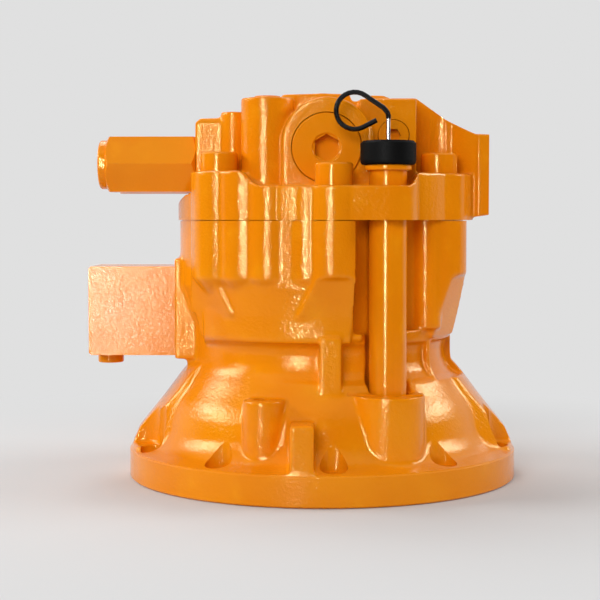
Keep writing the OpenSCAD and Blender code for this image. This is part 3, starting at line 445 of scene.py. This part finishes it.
def melt(piece, voxel, rounds):
    """One skin with soft fillets, as sand casting leaves them."""
    modifier(piece, "REMESH", mode="VOXEL", voxel_size=voxel * MM)
    modifier(piece, "SMOOTH", factor=0.5, iterations=rounds)


def cast(lumps, name, voxel, rounds):
    """Lumps melted into one body."""
    deselect()
    for lump in lumps:
        lump.select_set(True)
    bpy.context.view_layer.objects.active = lumps[0]
    bpy.ops.object.join()
    body = fresh(name)
    melt(body, voxel, rounds)
    return body


def thin_out(piece, triangles):
    """Fewer triangles where the surface is nearly flat."""
    count = sum(len(face.vertices) - 2 for face in piece.data.polygons)
    if count > triangles:
        modifier(piece, "DECIMATE", ratio=triangles / count)


def smooth(piece, angle=32):
    pick(piece)
    bpy.ops.object.shade_smooth_by_angle(angle=math.radians(angle))
    return piece


def dress(piece, finish, body, node):
    """The last step of each piece: finish, body, material slot and the CAD node it stands for."""
    piece.data.materials.clear()
    piece.data.materials.append(finish)
    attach(piece, body)
    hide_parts(node)


def bolt_places():
    return [polar(BOLT_CIRCLE_R, angle) for angle in BOLT_ANGLES]


# Casing: profiles are (radius, height), plans are (x, y)
CASING_PROFILE = [
    (0, -4), (FLANGE_R + 3, -4), (FLANGE_R + 3, RIM_H - 0.4), (FLANGE_R - 3, RIM_H + 0.9),
    (156, RIM_H + 2.5), (150, RIM_H + 4.5), (145.5, RIM_H + 8), (142, RIM_H + 13),
    (BELL_R + 6, 43), (BELL_R + 4.3, 50), (BELL_R + 2.2, 57), (BELL_R - 0.7, 63.5),
    (BELL_R - 4.5, 70), (BELL_R - 8.7, 76), (BELL_R - 12.2, 81.5), (FLARE_R - 0.5, 87),
    (113.5, 93), (WAIST_R + 0.8, 99), (WAIST_R, 106), (WAIST_R, WAIST_Z),
    (UPPER_R - 2, NECK_Z - 4), (UPPER_R, NECK_Z), (UPPER_R, JOINT_Z + OVER), (0, JOINT_Z + OVER),
]
RECESS_LOW = 129
RECESS_PLAN = [(64, -130), (64, -76.5), (108, -50), (150, -90), (150, -130)]
RIB_PROFILE = [
    (100, 10), (FLANGE_R - 2.5, 10), (FLANGE_R - 2.5, RIM_H + 4.5), (157, 41.5),
    (134.5, 69.5), (120, 89), (113, 97), (100, 97),
]
SHOULDER_PLANS = (
    [(-100, -8), (-100, -86), (-112, -83), (-150, -64), (-180, -60), (-180, -8)],
    [(100, -10), (180, -10), (180, -52), (152, -56), (118, -77), (100, -84)],
)
RIB_LOW = 5
RIB_HIGH = 110
SHOULDER_LEAN = (0, 42, RIB_HIGH - RIB_LOW)
LEDGE_PROFILE = [
    (90, 110), (105, 112), (116, 119.5), (118, 123), (118.5, 141), (121, NECK_Z), (90, NECK_Z + 2),
]

# Narrow ribs: angles about the shaft, and their plan as (radius, angle aside)
RIB_ANGLES = (-86.5, 93.5, 165.5, 201.5)
RIB_PLAN = ((100, -11.5), (180, -6.4), (180, 6.4), (100, 11.5))

# The skirt under a front bolt column as (x, z), and the slope under every column as (y, z)
FRONT_END = 60
SKIRT_BACK = -88
SKIRT_FRONT = -134
SKIRT = [(-30, 141), (30, 141), (16, 172), (-16, 172)]
COLUMN_FOOT = 122
UNDERSIDE = [(-109, 112), (-126, 171), (-132.5, 174), (-180, 174), (-180, 112)]


def side_ribs():
    """Slanted ribs from waist to rim: two broad shoulders, then narrow ribs at the sides and back."""
    wedges = [drawn([(x, y, RIB_LOW) for x, y in plan], SHOULDER_LEAN) for plan in SHOULDER_PLANS]
    for angle in RIB_ANGLES:
        wedges.append(slab([polar(out, angle + aside) for out, aside in RIB_PLAN], RIB_LOW, RIB_HIGH))
    return [cut(revolve(RIB_PROFILE), wedge, "INTERSECT") for wedge in wedges]


def bolt_column(angle):
    """A cover bolt's column, sloped below; at the front a skirt widens it into the wall."""
    post = bar(LOBE_R, COLUMN_FOOT, JOINT_Z + OVER, (0, -BOLT_CIRCLE_R))
    if angle < FRONT_END:
        cut(post, front_shape(SKIRT, SKIRT_BACK, SKIRT_FRONT), "UNION")
    cut(post, side_shape(UNDERSIDE, -60, 60))
    return turn(post, Matrix.Rotation(math.radians(angle), 3, "Z"))


def casing_lumps():
    """Everything that the sand mould gives the casing before hollows and machining."""
    lumps = [cut(revolve(CASING_PROFILE), slab(RECESS_PLAN, RECESS_LOW, JOINT_Z + 8))]
    lumps += side_ribs()
    lumps += [bolt_column(angle) for angle in BOLT_ANGLES]
    for angle, out, radius in FLUTES:
        lumps.append(bar(radius, 170, JOINT_Z + OVER, polar(out, angle)))
        lumps.append(cone(radius - 12, radius, 156, 170.5, polar(out, angle)))
    right_flute = bar(12, RECESS_LOW, JOINT_Z + OVER, (85.5, -65))
    ledge = cut(revolve(LEDGE_PROFILE), block((-97, -150, 100), (23, -40, 170)), "INTERSECT")
    ledge_rib = block((-1.5, -121, 66), (15.5, -81, 126))
    flange_rib = block((-24.5, -FLANGE_R + 2.5, 10), (-6, -95, 62))
    small_boss = bar(16.5, 10, 77.5, SMALL_BOSS_AT)
    tube_boss = bar(28.5, 10, TUBE_BOSS_H + 1, (TUBE_AT[0] + 0.5, TUBE_AT[1] - 8.5))
    valve_pad = block((-124, -34, BLOCK_Z - 3), (-84, 34, BLOCK_Z + 82))
    valve_foot = block((-114, -31, BLOCK_Z - 20), (-84, 31, BLOCK_Z + 4))
    drain_boss = turn(bar(19, 0, 36), BACK, (0, 90, DRAIN_Z))
    lumps += [right_flute, ledge, ledge_rib, flange_rib, small_boss, tube_boss]
    return lumps + [valve_pad, valve_foot, drain_boss]


def scoop(depth, plan, shift=0):
    """A hollow under the ledge, bounded by a plan; a shift lets one end run out."""
    profile = [
        (150, 120.5), (112, 120.5), (depth + 2, 117), (depth, 111), (depth + 0.4, 103),
        (depth + 3, 96), (depth + 7.5, 90.5), (depth + 13, 87.2), (150, 87),
    ]
    hollow = turn(revolve(profile), Matrix.Identity(3), (shift, 0, 0))
    return cut(hollow, slab(plan, 80, 125), "INTERSECT")


def fan(start, end):
    """A plan between two angles about the shaft, well past the wall."""
    reach = 170
    return [(0, 0), polar(reach, start), polar(reach, (start + end) / 2), polar(reach, end)]


def casing_hollows():
    """Cast hollows: scoops under the ledge, pockets at two flange bolts, and room behind the tube."""
    pocket_floor = RIM_H + 5
    return [
        scoop(105.5, [(-99, -30), (-99, -150), (-1.5, -150), (-1.5, -30)], -6),
        scoop(104.5, [(15.5, -30), (15.5, -150), (40, -150), (40, -30)]),
        scoop(104, fan(33, 51.5)),
        scoop(103.5, fan(54, 83)),
        bar(17, pocket_floor, 110, (-152, -44)),
        bar(16.5, pocket_floor, 110, (156, -35)),
        bar(TUBE_R + 4, TUBE_BOSS_H, JOINT_Z + 6, (TUBE_AT[0] + 1, TUBE_AT[1])),
        bar(23, 127.5, JOINT_Z + 6, (47.5, -114.5)),
    ]


# Machined outside; the joint keeps a thin open seam outside the seal's land
SEAM = 0.6
LAND_R = 120.5
ENVELOPE = [
    (0, 0), (FLANGE_R - 1.2, 0), (FLANGE_R, 1.2), (FLANGE_R, RIM_H - 1), (FLANGE_R - 1, RIM_H),
    (FLANGE_R - 1.6, RIM_H + 4), (FLANGE_R + 10, RIM_H + 4), (FLANGE_R + 10, JOINT_Z - SEAM),
    (LAND_R, JOINT_Z - SEAM), (LAND_R, JOINT_Z), (0, JOINT_Z),
]
WORKS_ROOM = [
    (0, 42), (50, 42), (50, 72), (72, 72), (72, 140), (80, 140), (80, 170), (86, 170),
    (86, JOINT_Z + OVER), (0, JOINT_Z + OVER),
]


# Bores round the shaft's end: radius, from and to
SHAFT_ROOMS = ((60, -OVER, 22), (36, 20, 39), (29, 38, 44))


def casing_tools():
    """Drills and mills: flange bolts, shaft end, tube seat, small boss, drain and the room for the works."""
    tools = []
    for i in range(FLANGE_BOLTS):
        at = polar(FLANGE_BOLT_R, FLANGE_TURN + 360 / FLANGE_BOLTS * i)
        tools.append(bar(FLANGE_HOLE_R, -OVER, RIM_H + OVER, at, 48))
        tools.append(bar(FLANGE_SEAT_R, RIM_H - 1, 90, at, 64))
    tools += [bar(*room) for room in SHAFT_ROOMS]
    tools.append(bar(TUBE_R + 2.3, TUBE_BOSS_H - 4, 96, TUBE_AT))
    tools.append(bar(TUBE_R + 0.1, 60, 90, TUBE_AT))
    tools.append(block((20, -140, TUBE_BOSS_H), (84, -118, 90)))
    tools.append(bar(TUBE_BORE_R, -OVER, 61, TUBE_AT))
    tools.append(bar(6.5, 47, 90, SMALL_HOLE_AT, 48))
    tools.append(turn(bar(9, 0, 60), BACK, (0, 72, DRAIN_Z)))
    tools.append(revolve(WORKS_ROOM, 96))
    return tools


def casing():
    voxel = 1.3
    body = cast(casing_lumps(), "casing_casting", voxel, rounds=3)
    drill(body, casing_hollows())
    melt(body, voxel, rounds=5)
    cut(body, revolve(ENVELOPE, 240), "INTERSECT")
    drill(body, casing_tools())
    thin_out(body, MOST_TRIANGLES)
    dress(smooth(body), CAST_PAINT, "housing", "casing")


# Valve cover: outlines are (x, z), or (y, z) where they are seen from the side
PLATE_OUTLINE = [
    (-175, -6), (-175, 14), (-123, 14), (-113, 21), (-106.5, 23), (-106, LOBE_TOP), (-66, LOBE_TOP),
    (-61, LOBE_TOP - 2), (-55, PLATE_T + 3), (-49, PLATE_T), (68, PLATE_T), (71, PLATE_T + 2),
    (75, RIGHT_TOP - 1), (78, RIGHT_TOP), (126, RIGHT_TOP), (127, 14), (175, 13), (175, -6),
]
NECK_PLAN = [
    (55, MID_Y - 44.5), (108, MID_Y - 44.5), (PORT_FACE_X - 9, MID_Y - 57), (PORT_FACE_X + 4, MID_Y - 57),
    (PORT_FACE_X + 4, MID_Y + 57), (PORT_FACE_X - 9, MID_Y + 57), (108, MID_Y + 44.5), (55, MID_Y + 44.5),
]
NECK_OUTLINE = [
    (50, JOINT_Z + 2), (50, COVER_TOP - 1.7), (78, COVER_TOP - 1.7), (102, PORT_Z + 46.5),
    (PORT_FACE_X - 11, PORT_Z + 33.5), (PORT_FACE_X + 4, PORT_Z + 32.8), (PORT_FACE_X + 4, PORT_Z - 33),
    (PORT_FACE_X - 8, PORT_Z - 34.5), (123, JOINT_Z + 2),
]
MIDDLE_OUTLINE = [
    (-40, JOINT_Z), (-40, COVER_TOP - 10), (-32, COVER_TOP - 1), (0, COVER_TOP), (22, COVER_TOP - 0.6),
    (24.5, COVER_TOP - 6.5), (34, COVER_TOP - 6.5), (38.5, COVER_TOP - 1.7), (50, COVER_TOP - 2),
    (62, COVER_TOP - 7), (62, JOINT_Z),
]
RELIEF_OUTLINE = [
    (RELIEF_X, JOINT_Z + 8), (RELIEF_X, JOINT_Z + 80), (RELIEF_X + 4, JOINT_Z + 84),
    (RELIEF_X + 20, JOINT_Z + 84.5), (RELIEF_X + 23, JOINT_Z + 88), (-30, JOINT_Z + 90), (-30, JOINT_Z + 8),
]
RELIEF_SLOPE = [(MID_Y - 60, JOINT_Z + 74), (MID_Y - 60, JOINT_Z + 100), (MID_Y - 45, JOINT_Z + 100)]


def cover_plate():
    """The plate on the joint: rim, bolt lobes and flutes, higher at the left and the right bolt."""
    low, high = JOINT_Z - OVER, JOINT_Z + 60
    plate = bar(PLATE_R, low, high)
    rounds = [bar(LOBE_R, low, high, at) for at in bolt_places()]
    rounds += [bar(radius, low, high, polar(out, angle)) for angle, out, radius in FLUTES]
    rounds.append(bar(TUBE_LOBE_R, low, high, TUBE_AT))
    rounds.append(bar(RIGHT_LOBE_R, low, high, RIGHT_LOBE_AT))
    rounds.append(block((9, -127, low), (52, -67, high)))
    for lobe in rounds:
        cut(plate, lobe, "UNION")
    heights = front_shape([(x, JOINT_Z + z) for x, z in PLATE_OUTLINE], -170, 170)
    return cut(plate, heights, "INTERSECT")


def cover_lumps():
    """Plate, neck and pad of the ports, raised middle, relief valves' housing and the bosses."""
    plate = cover_plate()
    neck = slab(NECK_PLAN, JOINT_Z + 2, JOINT_Z + 105)
    cut(neck, front_shape(NECK_OUTLINE, -90, 110), "INTERSECT")
    pad_low = (PORT_FACE_X - 9.5, MID_Y - 58, PORT_Z - 33)
    pad = block(pad_low, (PORT_FACE_X + 4, MID_Y + 58, PORT_Z + 32.8))
    middle = front_shape(MIDDLE_OUTLINE, -62, 82)
    relief = front_shape(RELIEF_OUTLINE, MID_Y - 56.5, MID_Y + 56.5)
    cut(relief, side_shape(RELIEF_SLOPE, -130, -15))
    column = bar(COLUMN_R, JOINT_Z + 8, COLUMN_TOP, COLUMN_AT)
    step = bar(11, JOINT_Z + 8, JOINT_Z + 89, (-73, -41))
    boss_z = MAKEUP_AT[1] + 4
    boss = turn(bar(BOSS_R, 0, 2 * MAKEUP_FACE), FRONT, (BOSS_X, MID_Y + MAKEUP_FACE, boss_z))
    foot_low = (BOSS_X - BOSS_R, MID_Y - MAKEUP_FACE, JOINT_Z + 8)
    foot = block(foot_low, (BOSS_X + BOSS_R, MID_Y + MAKEUP_FACE, boss_z))
    gauge_boss = block((30, MID_Y - GAUGE_FACE, JOINT_Z + 8), (76, MID_Y + 50, COVER_TOP - 5.2))
    return [plate, neck, pad, middle, relief, column, step, boss, foot, gauge_boss]


def cover_tools():
    """Drills and mills: relief seats, room for tube and cap, bolt seats, plug holes and ports."""
    relief_corner = (RELIEF_X - 60, MID_Y - 64, RELIEF_LOW)
    tools = [block(relief_corner, (RELIEF_X, MID_Y + 64, RELIEF_HIGH))]
    tools.append(bar(CAP_R + 1, CAP_SEAT, COVER_TOP + OVER, TUBE_AT))
    tools.append(bar(TUBE_R + 0.3, JOINT_Z - 1, JOINT_Z + 60, TUBE_AT))
    for at, up in zip(bolt_places(), SEAT_UP):
        tools.append(bar(BOLT_HOLE_R, JOINT_Z - 1, JOINT_Z + 80, at, 48))
        tools.append(bar(HEAD_R + 1, JOINT_Z + up, COVER_TOP + OVER, at))
    for way, face in ((FRONT, MID_Y - MAKEUP_FACE), (BACK, MID_Y + MAKEUP_FACE)):
        tools.append(turn(bar(MAKEUP_HOLE_R, -24, 2), way, (MAKEUP_AT[0], face, MAKEUP_AT[1])))
    front_gauge = bar(FRONT_GAUGE_R, -GAUGE_DEPTH, 2, sides=64)
    tools.append(turn(front_gauge, FRONT, (GAUGE_X, MID_Y - GAUGE_FACE, GAUGE_Z)))
    top_gauge = (GAUGE_X, PORT_Y[1])
    tools.append(bar(TOP_GAUGE_R, GAUGE_TOP - GAUGE_DEPTH, COVER_TOP, top_gauge, 64))
    tools.append(bar(GAUGE_SEAT_R, GAUGE_TOP, COVER_TOP + OVER, top_gauge, 64))
    tools.append(bar(MAKEUP_PORT_R, JOINT_Z + 44, COVER_TOP + OVER, (MAKEUP_AT[0], MID_Y), 64))
    tools.append(bar(COLUMN_HOLE_R, COLUMN_TOP - 20, COLUMN_TOP + OVER, COLUMN_AT, 48))
    for y in PORT_Y:
        tools.append(turn(bar(PORT_R, -PORT_DEPTH, 2, sides=64), RIGHT, (PORT_FACE_X, y, PORT_Z)))
        for dy in (-PORT_BOLT_Y, PORT_BOLT_Y):
            for dz in (-PORT_BOLT_Z, PORT_BOLT_Z):
                at = (PORT_FACE_X, y + dy, PORT_Z + dz)
                tools.append(turn(bar(PORT_BOLT_R, -PORT_BOLT_DEPTH, 2, sides=32), RIGHT, at))
    return tools


def cover():
    voxel = 1.2
    body = cast(cover_lumps(), "cover_casting", voxel, rounds=7)
    cut(body, block((-200, -200, JOINT_Z), (PORT_FACE_X, 200, JOINT_Z + 140)), "INTERSECT")
    drill(body, cover_tools())
    thin_out(body, MOST_TRIANGLES)
    dress(smooth(body), CAST_PAINT, "housing", "valve_cover")


# Turned and milled parts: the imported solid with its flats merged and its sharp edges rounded
def merged_copy(node, name):
    """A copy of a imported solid's mesh with its points merged."""
    piece = bpy.data.objects.new(name, frame["nodes"][node].data.copy())
    bpy.context.scene.collection.objects.link(piece)
    edit(piece)
    bpy.ops.mesh.remove_doubles(threshold=SAME_PACKED_POINT)
    leave(clean=False)
    return piece


def rounded_part(node, width, finish):
    piece = merged_copy(node, "rounded_" + node)
    edit(piece)
    bpy.ops.mesh.dissolve_limited(angle_limit=FLAT_ANGLE)
    leave(clean=False)
    modifier(
        piece, "BEVEL", width=width * MM, segments=2, limit_method="ANGLE", angle_limit=SHARP_ANGLE)
    modifier(smooth(piece, 28), "WEIGHTED_NORMAL", keep_sharp=True, weight=100)
    dress(piece, finish, "housing", node)


# Width of the rounded edges, and the parts that aren't in the smooth paint
ROUNDED = {
    "cover_bolts": 0.9, "front_makeup_plug": 0.5, "rear_makeup_plug": 0.5, "gauge_plugs": 0.3,
    "column_plug": 0.4, "front_relief_body": 0.7, "rear_relief_body": 0.7,
    "front_relief_adjuster": 0.5, "rear_relief_adjuster": 0.5, "brake_valve_block": 0.8,
    "brake_valve_bolts": 0.4, "brake_valve_plugs": 0.5, "dipstick_tube": 0.4,
}
PAINT_OF = {"brake_valve_bolts": DARK_STEEL, "brake_valve_block": BLOCK_PAINT}

# Springs: for each, the joint of the valve or piston that presses it, its travel and the way it presses. On
# the motor a spring shortens from that end and the other end keeps its seat; here the springs are only
# copied and painted, not shortened
SPRINGS = {
    "brake_springs": ("brake_release", 2, (0, 0, 1)),
    "front_makeup_spring": ("front_makeup_lift", 5, (0, -1, 0)),
    "rear_makeup_spring": ("rear_makeup_lift", 5, (0, 1, 0)),
    "front_relief_spring": ("front_relief_lift", 3, (-1, 0, 0)),
    "rear_relief_spring": ("rear_relief_lift", 3, (-1, 0, 0)),
    "brake_valve_spring": ("spool_shift", 4, (-1, 0, 0)),
}


def pressed_spring(node):
    piece = smooth(merged_copy(node, "pressed_" + node))
    dress(piece, SPRING_STEEL, "housing", node)
    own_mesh(piece)


# Studio, in metres: a floor that runs into an even pale grey, a dark card, lamps and the world
BACKDROP = 0.745
FILL = 0.26
FLOOR_GREY = 0.62
FLOOR_R = 1.0
FLOOR_DROP = 0.0004
FADE_FROM = 0.24
FADE_TO = 0.62


def pale_floor_finish():
    """Lit and shaded like paper near the object, and the backdrop's even grey further out."""
    finish = Finish("pale_floor", (FLOOR_GREY, FLOOR_GREY, FLOOR_GREY), 0.9)
    finish.set("Specular IOR Level", 0.0)
    tree = finish.tree
    glow = tree.nodes.new("ShaderNodeEmission")
    glow.inputs["Color"].default_value = (BACKDROP, BACKDROP, BACKDROP, 1)
    blend = tree.nodes.new("ShaderNodeMixShader")
    across = finish.node("VectorMath", {"operation": "LENGTH"}, {0: finish.place}, "Value")
    seen = finish.node("LightPath", {}, {}, "Is Camera Ray")
    glossy = finish.node("LightPath", {}, {}, "Is Glossy Ray")
    through = finish.node("LightPath", {}, {}, "Is Transmission Ray")
    far = finish.between(across, FADE_FROM, FADE_TO) * (seen + glossy + through)
    tree.links.new(far.socket, blend.inputs[0])
    tree.links.new(finish.shader.outputs[0], blend.inputs[1])
    tree.links.new(glow.outputs[0], blend.inputs[2])
    tree.links.new(blend.outputs[0], tree.nodes["Material Output"].inputs["Surface"])
    return finish.material


def studio_floor():
    deselect()
    bpy.ops.mesh.primitive_circle_add(
        vertices=96, radius=FLOOR_R, fill_type="NGON", location=(0, 0, -FLOOR_DROP))
    floor = fresh("studio_floor")
    floor.data.materials.append(pale_floor_finish())


def dark_card():
    """A black card round the front, which only the gloss sees, so that the paint keeps its depth."""
    deselect()
    bpy.ops.mesh.primitive_cylinder_add(
        vertices=64, radius=2.9, depth=4.4, end_fill_type="NOTHING", location=(0, 0, 0.9))
    card = fresh("dark_card")
    edit(card)
    bpy.ops.mesh.bisect(plane_co=(0, 0.4, 0), plane_no=(0, 1, 0), clear_outer=True)
    leave(clean=False)
    finish = Finish("dark_card", (0.01, 0.01, 0.01), 1.0)
    finish.set("Specular IOR Level", 0.0)
    card.data.materials.append(finish.material)
    card.visible_camera = False
    card.visible_diffuse = False
    card.visible_shadow = False
    card.visible_transmission = False


# Lamps: name, place, what it points at, size, power, and which rays see it
MIDDLE = (0, 0, 0.16)
LAMPS = (
    ("strip_lamp", (-0.62, -2.15, 0.5), (0, 0, 0.2), (0.03, 1.7), 62, "gloss"),
    ("low_panel", (-0.46, -2.2, -0.02), (-0.1, 0, 0.15), (0.27, 0.34), 0.6, "gloss"),
    ("front_box", (-0.5, -2.1, 1.0), MIDDLE, (1.2, 1.0), 28, "colour"),
    ("left_box", (-1.6, 0.0, 0.95), MIDDLE, (1.0, 0.35), 17, "both"),
    ("right_box", (1.6, 0.2, 0.95), MIDDLE, (0.9, 0.35), 15, "both"),
    ("back_box", (-0.5, 0.9, 2.0), MIDDLE, (1.0, 1.0), 15, "both"),
)


def soft_box(name, place, target, size, power, seen_in):
    """A rectangular lamp, which may light the gloss, the colour or both."""
    light = bpy.data.lights.new(name, "AREA")
    light.shape = "RECTANGLE"
    light.size, light.size_y = size
    light.energy = power
    lamp = bpy.data.objects.new(name, light)
    lamp.location = place
    lamp.rotation_euler = (Vector(place) - Vector(target)).to_track_quat("Z", "Y").to_euler()
    lamp.visible_camera = False
    lamp.visible_diffuse = seen_in != "gloss"
    lamp.visible_glossy = seen_in != "colour"
    bpy.context.scene.collection.objects.link(lamp)


def studio_world():
    """An even white fill, which the camera and reflections see as the backdrop's grey."""
    world = bpy.data.worlds.new("studio_world")
    bpy.context.scene.world = world
    world.use_nodes = True
    nodes, links = world.node_tree.nodes, world.node_tree.links
    background = nodes["Background"]
    path = nodes.new("ShaderNodeLightPath")
    seen = path.outputs["Is Camera Ray"]
    for ray in ("Is Glossy Ray", "Is Transmission Ray"):
        either = nodes.new("ShaderNodeMath")
        either.operation = "MAXIMUM"
        links.new(seen, either.inputs[0])
        links.new(path.outputs[ray], either.inputs[1])
        seen = either.outputs[0]
    level = nodes.new("ShaderNodeMapRange")
    level.inputs[3].default_value = FILL
    level.inputs[4].default_value = BACKDROP
    links.new(seen, level.inputs[0])
    links.new(level.outputs[0], background.inputs["Strength"])
    background.inputs["Color"].default_value = (1, 1, 1, 1)


def studio():
    studio_floor()
    dark_card()
    studio_world()
    for lamp in LAMPS:
        soft_box(*lamp)


def dress_solids():
    """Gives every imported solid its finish, by the record's slot."""
    slots = {entry["node"]: entry["material_slot"] for entry in frame["record"]["subparts"]}
    for name, node in frame["nodes"].items():
        node.data.materials.clear()
        node.data.materials.append(FINISHES[slots[name]])


bpy.context.scene.view_settings.view_transform = "Standard"
studio_camera()
studio()
dress_solids()
casing()
cover()
for node, edge in ROUNDED.items():
    rounded_part(node, edge, PAINT_OF.get(node, SMOOTH_PAINT))
for node, (joint, travel, way) in SPRINGS.items():
    pressed_spring(node)
